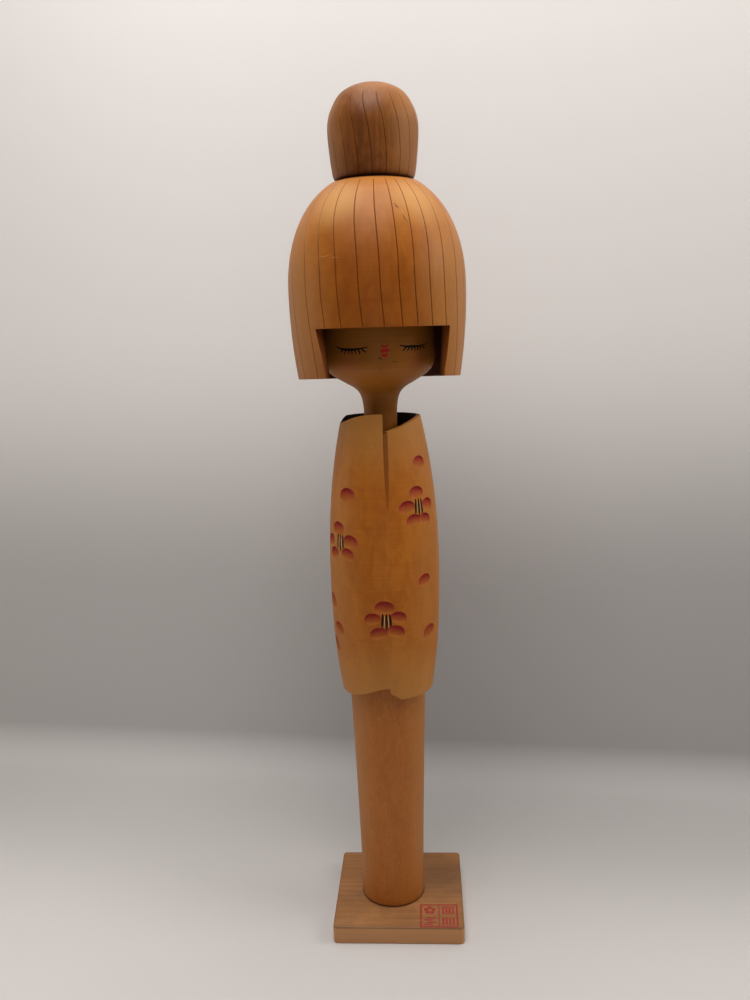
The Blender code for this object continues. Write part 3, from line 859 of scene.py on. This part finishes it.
stain, bare = wood("stained_petals", (0.37, 0.118, 0.014), (0.25, 0.060, 0.005), figure=0.6,
                   ring=0.05, fibre=0.3, fleck=0.1, roughness=0.65, gloss=0.2)
wash = stain.span(stain.painted("pigment"), 0.15, 0.92, 0.10, 1.0)
blotch = stain.span(stain.noise((700.0, 700.0, 500.0), 3.0, 0.6), 0.35, 0.7, 0.8, 1.0)
stain.colour(stain.mix(stain.maths('MULTIPLY', wash, blotch), bare, (0.38, 0.011, 0.020)))

cut_wood = mottled("stamen_cuts", 0.7, (0.050, 0.022, 0.010), (0.13, 0.065, 0.025),
                   (2400.0, 2400.0, 500.0), 0.15, 3.0, 0.6, (0.4, 0.65))
black = mottled("collar_black", 0.7, (0.006, 0.005, 0.005), (0.016, 0.012, 0.011),
                (400.0, 400.0, 90.0), 0.15, 4.0, 0.6, (0.35, 0.7))

barrel = lathe(kimono_profile(), kimono_columns())
carve_kimono(barrel)
barrel = gouge_kimono(barrel)
for face in barrel.faces:
    middle = face.calc_center_median()
    reach, angle = polar(middle)
    behind = angle < -62 or angle > 100
    rim = reach < kimono_radius(middle.z) - (0.12 * MM if behind else 1.0 * MM)
    inside = reach < COLLAR_BORE_R + 0.05 * MM and middle.z > COLLAR_FLOOR - MM
    if inside or (rim and behind and middle.z > 218 * MM):
        face.material_index = 3
kimono = as_object("carved_kimono", barrel, finish.material, stain.material,
                   cut_wood.material, black.material)
stain_petals(kimono)
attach(kimono, "body")
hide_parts("kimono_body")

# Slivers of bare wood that stand between the knife cuts, painted pale: partly their bare wood and
# partly a painted highlight for the light their walls catch
ridges = bmesh.new()
for angle, z in BLOSSOM_HEARTS:
    for x in (-0.8, 0.8):
        made = bmesh.ops.create_uvsphere(ridges, u_segments=12, v_segments=20, radius=1.0)
        shape = (on_kimono(angle, z * MM) @ Matrix.Translation((x * MM, -0.1 * MM, -0.05 * MM))
                 @ Matrix.Rotation(math.radians(x * 2.5), 4, 'Z')
                 @ Matrix.Diagonal((0.20 * MM, 2.8 * MM, 0.32 * MM, 1.0)))
        bmesh.ops.transform(ridges, matrix=shape, verts=made["verts"])
bare_wood_painted_light = mottled("bare_ridges_painted_light", 0.7, (0.72, 0.46, 0.26), (0.46, 0.24, 0.10),
                    (900.0, 900.0, 400.0), 0.2)
stamen_ridges = as_object("stamen_ridges", ridges, bare_wood_painted_light.material)
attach(stamen_ridges, "body")


# ==== Face and neck ===========================================================
# One turned piece: a round face that narrows under the jaw into a slim neck, with a peg
# that turns in the kimono's socket and a tenon glued into the hair cap. Waxed, a little worn.

NECK_R = 7.0 * MM
FACE_R = 23.05 * MM
TENON_R = 6.0 * MM
TENON_TOP = 300.0 * MM
PEG_R = 5.5 * MM
PEG_BOTTOM = 186.3 * MM


def flowing(points, per_span):
    """A smooth line through the given points, as a Catmull-Rom curve."""
    held = [points[0], *points, points[-1]]
    line = []
    for p0, p1, p2, p3 in zip(held, held[1:], held[2:], held[3:]):
        a, b, c, d = Vector(p0), Vector(p1), Vector(p2), Vector(p3)
        for k in range(per_span):
            t = k / per_span
            line.append(0.5 * (2 * b + (c - a) * t + (2 * a - 5 * b + 4 * c - d) * t ** 2
                               + (3 * b - a - 3 * c + d) * t ** 3))
    line.append(Vector(points[-1]))
    return line


# (radius, height) in millimetres, from the crown that the hair hides down to the neck
HEAD_OUTLINE = flowing([(6.0, 285.7), (15.0, 284.6), (20.5, 278.0), (22.5, 267.0), (23.05, 255.0),
                        (22.5, 249.2), (19.6, 245.5), (14.8, 242.5), (10.2, 239.7), (8.0, 236.6),
                        (7.0, 231.0), (7.0, 222.0)], 8)


def outline_radius(outline, z, beyond):
    """The radius at a height, read off an outline in millimetres."""
    for above, below in zip(outline, outline[1:]):
        if above.y * MM >= z >= below.y * MM:
            share = (z - below.y * MM) / max((above.y - below.y) * MM, 1e-9)
            return (below.x + (above.x - below.x) * share) * MM
    return beyond


def face_radius(z):
    """The radius of the face, jaw or neck at a height."""
    return outline_radius(HEAD_OUTLINE, z, NECK_R)


def head_profile():
    """Tenon, crown, face, jaw, neck and peg."""
    line = [(0.0, TENON_TOP), (TENON_R, TENON_TOP)]
    line += [(p.x * MM, p.y * MM) for p in HEAD_OUTLINE]
    line += [(NECK_R, COLLAR_FLOOR + 0.3 * MM), (PEG_R, COLLAR_FLOOR + 0.3 * MM),
             (PEG_R, PEG_BOTTOM), (0.0, PEG_BOTTOM)]
    return soften(line, 0.4 * MM)


finish, tone = wood("face_wood", (0.415, 0.142, 0.016), (0.26, 0.072, 0.006), figure=0.6,
                    ring=0.04, fibre=0.10, fleck=0.06, roughness=0.46, turned=0.3, gloss=0.20,
                    ring_spacing=4.0 * MM, pith=(-0.07, 0.05, 0.0), offset=(2.0, 2.0, 6.0))
# Painted reflection: a pinkish sheen low on each side of the face, by the jaw.
for side in (-31.0, 47.0):
    painted_sheen = finish.near(round_axis(FACE_R, side, 251.5 * MM), 1.0 * MM, 8.0 * MM, 0.30)
    tone = finish.mix(painted_sheen, tone, (0.42, 0.09, 0.045))
finish.colour(tone)
head = as_object("turned_head", lathe(head_profile(), even(192)), finish.material)
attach(head, "head")
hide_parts("face_and_neck")


# ==== Painted face ============================================================
# Brush strokes of black and red lacquer on the bare wood: two closed lids with seven lashes
# each, a small notch for the nose and two strokes for the lips. A few scuffs have bruised the
# chin.

FACE_TURN = 8.3               # the face looks this far round from -Y
STROKE_FLATNESS = 0.16


def stroke(curve, points, thickness, taper, skin):
    """One tapering brush stroke along (angle, height in millimetres) points."""
    line = flowing(points, 6)
    spline = curve.splines.new('POLY')
    spline.points.add(len(line) - 1)
    for i, (knot, (angle, height)) in enumerate(zip(spline.points, line)):
        t = i / (len(line) - 1)
        knot.co = (*round_axis(skin(height * MM), angle, height * MM), 1.0)
        first, last, share = (*taper[:2], t * 2) if t < 0.5 else (*taper[1:], t * 2 - 1)
        swell = first + (last - first) * share
        knot.radius = thickness * MM * swell


def brushed_object(name, strokes, material, skin=face_radius):
    """Lay the strokes flat on a turned surface as thin closed skins."""
    curve = bpy.data.curves.new(name, 'CURVE')
    curve.dimensions = '3D'
    curve.bevel_depth = 1.0
    curve.bevel_resolution = 3
    curve.use_fill_caps = True
    for points, thickness, taper in strokes:
        stroke(curve, points, thickness, taper, skin)
    drawing = in_scene(name + "_drawing", curve)
    bpy.context.view_layer.update()
    evaluated = drawing.evaluated_get(bpy.context.evaluated_depsgraph_get())
    work = bmesh.new()
    work.from_mesh(bpy.data.meshes.new_from_object(evaluated))
    bpy.data.objects.remove(drawing)
    bmesh.ops.remove_doubles(work, verts=work.verts, dist=1e-7)
    for v in work.verts:
        radius = math.hypot(v.co.x, v.co.y)
        flat = skin(v.co.z) + (radius - skin(v.co.z)) * STROKE_FLATNESS
        v.co.x *= flat / radius
        v.co.y *= flat / radius
    bmesh.ops.recalc_face_normals(work, faces=work.faces)
    return as_object(name, work, material)


def eye_strokes(lid, lashes):
    """A closed lid, thickest in its middle, and lashes that fan out below it."""
    strokes = [(lid, 0.56, (0.3, 1.0, 0.3))]
    for root_angle, root_z, tip_angle, tip_z in lashes:
        middle = ((root_angle + tip_angle) / 2, (root_z + tip_z) / 2 - 0.06)
        strokes.append(([(root_angle, root_z), middle, (tip_angle, tip_z)], 0.36, (1.0, 0.9, 0.4)))
    return strokes


def lash_fan(start, end, lid_z, tips):
    """Seven lashes evenly spaced along the lid, each given its tip's sideways lean and drop."""
    lashes = []
    for i, (lean, drop) in enumerate(tips):
        root = start + (end - start) * i / (len(tips) - 1)
        lashes.append((root, lid_z, root + lean, lid_z - drop))
    return lashes


left_eye = eye_strokes([(-44.4, 257.35), (-36.4, 256.45), (-26.1, 256.1), (-17.9, 256.35),
                        (-8.0, 257.0)],
                       lash_fan(-35.0, -14.0, 256.15, ((-3.4, 1.15), (-2.2, 1.95), (-0.6, 1.85),
                                                       (0.0, 1.95), (0.4, 1.85), (1.8, 1.85),
                                                       (4.4, 1.2))))
right_eye = eye_strokes([(23.6, 257.25), (30.0, 256.85), (37.5, 256.7), (46.0, 256.75),
                         (53.5, 257.2)],
                        lash_fan(30.8, 51.0, 256.6, ((-4.2, 1.6), (-2.8, 1.75), (-1.2, 1.65),
                                                     (-0.1, 1.85), (0.6, 1.6), (1.2, 1.25),
                                                     (4.6, 0.75))))
wing = [([(52.5, 257.1), (58.0, 257.45), (64.0, 257.95)], 0.20, (1.0, 0.7, 0.2))]

lacquer = mottled("black_lacquer", 0.6, (0.003, 0.002, 0.002), (0.010, 0.007, 0.006),
                  (900.0, 900.0, 900.0), 0.15)
eyes = brushed_object("painted_eyes", left_eye + right_eye + wing, lacquer.material)
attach(eyes, "head")

nose = [([(FACE_TURN - 3.1, 257.5), (FACE_TURN - 0.1, 256.5)], 0.38, (0.6, 1.0, 1.0)),
        ([(FACE_TURN - 0.1, 256.5), (FACE_TURN + 3.4, 257.65)], 0.38, (1.0, 1.0, 0.4))]
lips = [([(FACE_TURN - 4.3, 255.0), (FACE_TURN - 2.1, 255.3), (FACE_TURN, 255.0)], 0.72,
         (0.35, 1.0, 0.8)),
        ([(FACE_TURN, 255.0), (FACE_TURN + 2.1, 255.5), (FACE_TURN + 4.6, 255.3)], 0.72,
         (0.8, 1.0, 0.35)),
        ([(FACE_TURN - 2.6, 254.0), (FACE_TURN, 253.3), (FACE_TURN + 2.8, 254.15)], 0.70,
         (0.5, 1.0, 0.5))]
vermilion = mottled("red_lacquer", 0.6, (0.66, 0.018, 0.012), (0.48, 0.018, 0.010),
                    (1200.0, 1200.0, 1200.0), 0.2)
mouth = brushed_object("painted_mouth", nose + lips, vermilion.material)
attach(mouth, "head")

scuffs = [([(2.2, 252.75), (3.8, 252.45), (5.4, 252.1)], 0.30, (0.5, 1.0, 0.4)),
          ([(14.0, 251.15), (16.5, 251.0), (19.0, 251.2)], 0.16, (0.2, 1.0, 0.3)),
          ([(18.5, 250.75), (20.5, 250.95), (22.6, 250.85)], 0.15, (0.2, 1.0, 0.3)),
          ([(3.9, 248.15), (4.6, 247.9)], 0.26, (0.8, 1.0, 0.8))]
bruise = mottled("scuffed_wood", 0.7, (0.065, 0.022, 0.006), (0.15, 0.055, 0.015),
                 (1500.0, 1500.0, 1500.0), 0.2)
face_scuffs = brushed_object("face_scuffs", scuffs, bruise.material)
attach(face_scuffs, "head")


# ==== Hair cap ================================================================
# A dome of honey-coloured wood, turned and hollowed like a bowl, then sawn open in front so
# that two locks hang beside the face. The strands are scored with a fine veining tool, and
# handling has left a few scratches.

HAIR_R = 36.26 * MM
HAIR_WIDEST = 279.0 * MM
HAIR_TOP = 321.6 * MM
HAIR_DOME_H = 46.7 * MM
HAIR_DOME_POWER = 2.2
HAIR_BOTTOM = 244.0 * MM
HAIR_TILT = math.tan(math.radians(2.8))
HOLLOW_TOP = 286.0 * MM
HOLLOW_R = 32.2 * MM
SOCKET_R = 6.3 * MM
SOCKET_TOP = 300.3 * MM
DOWEL_HOLE_R = 3.3 * MM
DOWEL_HOLE_FLOOR = 311.2 * MM
HAIR_TURN = 7.1
WINDOW_TOP = 264.4 * MM
WINDOW_HALF_TOP = 46.8        # half the opening's angle along the fringe, and between the locks' ends
WINDOW_HALF_BOTTOM = 41.5
SEAT_R = 15.6 * MM
# Angles of the scored strands across the front; the rest are spaced evenly round the back
FRONT_STRANDS = (-63.5, -47.0, -34.0, -22.3, -8.6, 4.5, 15.8, 25.7, 36.2, 48.0, 61.0, 74.0)
BACK_STRANDS = 19
SCORE = ((-1.3, 0.0), (-0.66, 0.0), (-0.40, 0.08), (-0.18, 0.75), (0.0, 1.0), (0.18, 0.75),
         (0.40, 0.08), (0.66, 0.0), (1.3, 0.0))


def scored_columns(strands, plain):
    """Columns for a scored dome, as parallel lists of angles and depths from 0 to 1."""
    angles = []
    depths = []
    for here, after in zip(strands, [*strands[1:], strands[0] + 360.0]):
        for offset, depth in SCORE:
            angles.append(here + offset)
            depths.append(depth)
        first = here + SCORE[-1][0]
        last = after + SCORE[0][0]
        for i in range(1, plain + 1):
            angles.append(first + (last - first) * i / (plain + 1))
            depths.append(0.0)
    return angles, depths


def score_dome(work, angles, depths, outer_radius, depth_at, drift_at):
    """Sink each scored column into the outer skin, store its darkness, and let it wander."""
    layer = work.verts.layers.float.new("engraving")
    by_angle = {round(a % 360.0, 3): d for a, d in zip(angles, depths)}
    for v in work.verts:
        radius, angle = polar(v.co)
        if radius < 1e-7:
            continue
        if radius > outer_radius(v.co.z) - 0.6 * MM:
            depth = by_angle.get(round(angle % 360.0, 3), 0.0)
            scale = depth_at(v.co.z)
            radius -= depth * scale
            v[layer] = depth * min(scale / (0.2 * MM), 1.0)
        v.co = round_axis(radius, angle + drift_at(angle, v.co.z), v.co.z)


def hair_radius(z):
    """The cap's outer radius at a height."""
    above = z - HAIR_WIDEST
    if above > 0:
        return HAIR_R * (1 - (above / HAIR_DOME_H) ** HAIR_DOME_POWER) ** (1 / HAIR_DOME_POWER)
    return HAIR_R - 2.2 * above ** 2


def hair_profile():
    """Dowel hole, seat, dome, side, lower rim and the hollow with its tenon socket."""
    line = [(0.0, DOWEL_HOLE_FLOOR), (DOWEL_HOLE_R, DOWEL_HOLE_FLOOR), (DOWEL_HOLE_R, HAIR_TOP),
            (SEAT_R, HAIR_TOP)]
    for i in range(1, 37):
        a = math.radians(24 + 66 * i / 36)
        z = HAIR_WIDEST + (HAIR_TOP - HAIR_WIDEST) * math.cos(a) / math.cos(math.radians(24))
        line.append((hair_radius(z), z))
    for i in range(1, 31):
        z = HAIR_WIDEST + (HAIR_BOTTOM - HAIR_WIDEST) * i / 30
        line.append((hair_radius(z), z))
    inside = flowing([(31.2, 244.0), (32.0, 262.0), (31.0, 274.0), (27.0, 282.5), (20.0, 286.0)], 5)
    line += [(p.x * MM, p.y * MM) for p in inside]
    line += [(SOCKET_R, HOLLOW_TOP), (SOCKET_R, SOCKET_TOP), (0.0, SOCKET_TOP)]
    return soften(line, 0.35 * MM)


def hair_depth(z):
    """The scores start just below the topknot's seat."""
    return 0.30 * MM * smooth((320.8 * MM - z) / (1.5 * MM))


def hair_drift(angle, z):
    """Strands spread apart towards the crown and drift a little as they fall."""
    high = smooth((z - 283 * MM) / (34 * MM))
    low = smooth((285 * MM - z) / (40 * MM))
    return 9.0 * high * math.sin(math.radians(angle - HAIR_TURN)) - 2.0 * high + 4.0 * low


def slope_rim(work):
    """Tilt the lower rim so that it hangs lowest at the back."""
    for v in work.verts:
        share = smooth((262 * MM - v.co.z) / (18 * MM))
        v.co.z -= v.co.y * HAIR_TILT * share


def window_tool():
    """The sawn opening for the face: radial sides that lean in towards the bottom."""
    work = bmesh.new()
    bmesh.ops.create_cube(work, size=1.0)
    for v in work.verts:
        high = v.co.z > 0
        half = WINDOW_HALF_TOP if high else WINDOW_HALF_BOTTOM
        radius = 20.0 * MM if v.co.y > 0 else 60.0 * MM
        v.co = round_axis(radius, HAIR_TURN + (half if v.co.x > 0 else -half),
                          WINDOW_TOP if high else 236.0 * MM)
    for face in work.faces:
        face.material_index = 1
    bmesh.ops.recalc_face_normals(work, faces=work.faces)
    return work


first_back = FRONT_STRANDS[-1]
back_gap = (360.0 + FRONT_STRANDS[0] - first_back) / (BACK_STRANDS + 1)
wander = random.Random(7)
back_strands = [first_back + back_gap * (i + 1) + wander.uniform(-1.2, 1.2)
                for i in range(BACK_STRANDS)]
strand_angles, strand_depths = scored_columns([*FRONT_STRANDS, *back_strands], 3)
dome = lathe(hair_profile(), strand_angles)
score_dome(dome, strand_angles, strand_depths, hair_radius, hair_depth, hair_drift)
slope_rim(dome)
dome = combine("hair_cap", dome, [window_tool()])
for face in dome.faces:
    middle = face.calc_center_median()
    if math.hypot(middle.x, middle.y) < HOLLOW_R and middle.z < HOLLOW_TOP + MM:
        face.material_index = 1

finish, tone = wood("hair_wood", (0.40, 0.118, 0.009), (0.245, 0.052, 0.002), figure=0.9,
                    ring=0.05, fibre=0.12, fleck=0.08, roughness=0.42, turned=0.28,
                    ripple=0.12 * MM, gloss=0.20, mottle=0.5, ring_spacing=5.5 * MM,
                    pith=(-0.08, 0.06, 0.0), offset=(9.0, 4.0, 1.0))
# Painted light: the cap is painted paler towards its crown and at its sides.
below_crown = finish.axis('Z', HAIR_TOP)
towards_crown = finish.span(below_crown, 40.0 * MM, 2.0 * MM, 0.0, 0.42)
painted_light = finish.maths('MAXIMUM', towards_crown, finish.flanks(0.0, 9.0 * MM, 35.0 * MM, 0.6))
tone = finish.mix(painted_light, tone, (0.54, 0.245, 0.060))
# Painted highlights: two pale patches high on the front of the dome.
for x, y in ((-14.0 * MM, -23.5 * MM), (17.0 * MM, -21.4 * MM)):
    painted_highlight = finish.near((x, y, 311.0 * MM), 2.0 * MM, 15.0 * MM, 0.6)
    tone = finish.mix(painted_highlight, tone, (0.62, 0.34, 0.12))
tone = finish.layer(tone, finish.painted("engraving"), 0.1, 0.8, 0.95, (0.165, 0.040, 0.006))
# Painted shade: the cap goes dark just under its crown, where the topknot sits.
tone = finish.layer(tone, below_crown, 0.9 * MM, 0.05 * MM, 0.85, (0.05, 0.014, 0.004))
finish.colour(tone)
# Bare wood inside the cap and on the window's sawn sides, with painted shade: darker than the outside,
# near-black deep in the hollow.
bare, tone = wood("bare_hollow_painted_shade", (0.24, 0.058, 0.007), (0.13, 0.028, 0.003), figure=0.6,
                  ring=0.1, fibre=0.5, fleck=0.4, roughness=0.75, gloss=0.15)
bare.colour(bare.layer(tone, bare.from_axis(), 33.6 * MM, 31.6 * MM, 0.8, (0.022, 0.007, 0.003)))
hair = as_object("scored_hair_cap", dome, finish.material, bare.material)
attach(hair, "head")
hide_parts("hair_cap")


light_marks = [([(-35.0, 291.4), (-31.0, 291.0), (-25.5, 291.6)], 0.16, (0.2, 1.0, 0.2)),
               ([(-27.0, 290.0), (-23.5, 290.4), (-20.0, 290.1)], 0.13, (0.2, 1.0, 0.2)),
               ([(20.0, 308.5), (22.0, 306.5), (23.5, 304.6)], 0.18, (0.3, 1.0, 0.2)),
               ([(52.0, 297.0), (54.0, 295.0)], 0.14, (0.3, 1.0, 0.2)),
               ([(130.0, 285.0), (133.0, 281.0), (134.0, 277.0)], 0.16, (0.2, 1.0, 0.2))]
dark_marks = [([(17.5, 309.6), (18.6, 308.4), (20.3, 307.9)], 0.24, (0.4, 1.0, 0.4)),
              ([(22.0, 305.4), (23.0, 303.6), (25.0, 302.2)], 0.20, (0.4, 1.0, 0.3)),
              ([(-150.0, 300.0), (-147.0, 297.0)], 0.2, (0.4, 1.0, 0.3))]
scratch = mottled("light_scratches", 0.6, (0.58, 0.24, 0.07), (0.50, 0.17, 0.03),
                  (1500.0, 1500.0, 1500.0))
hair_scratches = brushed_object("hair_scratches", light_marks, scratch.material, hair_radius)
hair_nicks = brushed_object("hair_nicks", dark_marks, bruise.material, hair_radius)
for mark in (hair_scratches, hair_nicks):
    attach(mark, "head")


# ==== Topknot =================================================================
# A bun of darker, close-grained wood, turned, scored like the hair and polished.
# It sits on the flat crown of the cap and is held by a dowel.

KNOT_SEAT = 321.9 * MM
KNOT_STRANDS = 19
KNOT_PHASE = -2.0
KNOT_OUTLINE = flowing([(0.0, 358.5), (6.8, 357.7), (12.8, 354.6), (16.3, 349.4), (17.85, 344.6),
                        (18.1, 339.5), (17.5, 331.5), (16.6, 324.6), (15.9, 322.7)], 7)


def knot_radius(z):
    """The topknot's radius at a height."""
    return outline_radius(KNOT_OUTLINE, z, 15.0 * MM)


def knot_depth(z):
    """The scores start below the plain crown."""
    return 0.28 * MM * smooth((352.4 * MM - z) / (1.2 * MM))


def knot_drift(angle, z):
    """Strands slant as they fall."""
    return -8.0 * smooth((z - 336 * MM) / (16 * MM)) + 2.5 * smooth((338 * MM - z) / (9 * MM))


knot_wander = random.Random(11)
knot_strands = [KNOT_PHASE + 360.0 / KNOT_STRANDS * i + knot_wander.uniform(-1.3, 1.3)
                for i in range(KNOT_STRANDS)]
knot_angles, knot_depths = scored_columns(knot_strands, 4)
knot_profile = [(p.x * MM, p.y * MM) for p in KNOT_OUTLINE]
knot_profile += [(15.1 * MM, KNOT_SEAT), (DOWEL_HOLE_R, KNOT_SEAT), (DOWEL_HOLE_R, 333.3 * MM),
                 (0.0, 333.3 * MM)]
bun = lathe(soften(knot_profile, 0.4 * MM), knot_angles)
score_dome(bun, knot_angles, knot_depths, knot_radius, knot_depth, knot_drift)
finish, tone = wood("topknot_wood", (0.26, 0.082, 0.015), (0.085, 0.022, 0.003), figure=1.0,
                    ring=0.22, fibre=0.35, fleck=0.3, roughness=0.42, ripple=0.08 * MM,
                    gloss=0.2, mottle=0.5, ring_spacing=2.2 * MM, pith=(0.04, 0.05, 0.0),
                    offset=(4.0, 8.0, 3.0))
# Painted light: the topknot is painted paler at its sides.
tone = finish.mix(finish.flanks(-2.5 * MM, 3.0 * MM, 18.0 * MM, 0.6), tone, (0.44, 0.18, 0.045))
# Painted highlight: a pale patch high on the topknot's front.
painted_highlight = finish.near((1.0 * MM, -9.0 * MM, 355.0 * MM), 3.0 * MM, 14.0 * MM, 0.35)
tone = finish.mix(painted_highlight, tone, (0.44, 0.175, 0.040))
above_seat = finish.axis('Z', KNOT_SEAT)
tone = finish.layer(tone, finish.painted("engraving"), 0.1, 0.8, 0.9, (0.06, 0.016, 0.006))
# Painted shade: the topknot goes dark just above its seat on the cap.
tone = finish.layer(tone, above_seat, 1.2 * MM, 0.3 * MM, 0.8, (0.02, 0.007, 0.003))
finish.colour(tone)
topknot = as_object("scored_topknot", bun, finish.material)
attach(topknot, "head")
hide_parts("topknot")


# ==== Dowel and screw =========================================================
# Two fastenings that only show when the doll is taken apart or turned over: a bare dowel
# between topknot and cap, and a slotted steel wood screw up into the column.

dowel, tone = wood("dowel_wood", (0.66, 0.46, 0.25), (0.40, 0.24, 0.10), figure=0.3, ring=0.1,
                   fibre=0.5, fleck=0.3, roughness=0.65)
dowel.colour(tone)
steel = mottled("screw_steel", 0.35, (0.50, 0.49, 0.47), (0.62, 0.61, 0.59),
                (900.0, 900.0, 900.0))
steel.shader.inputs["Metallic"].default_value = 1.0
for node, finish in (("topknot_dowel", dowel), ("base_screw", steel)):
    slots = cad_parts[node].data.materials
    slots.clear()
    slots.append(finish.material)
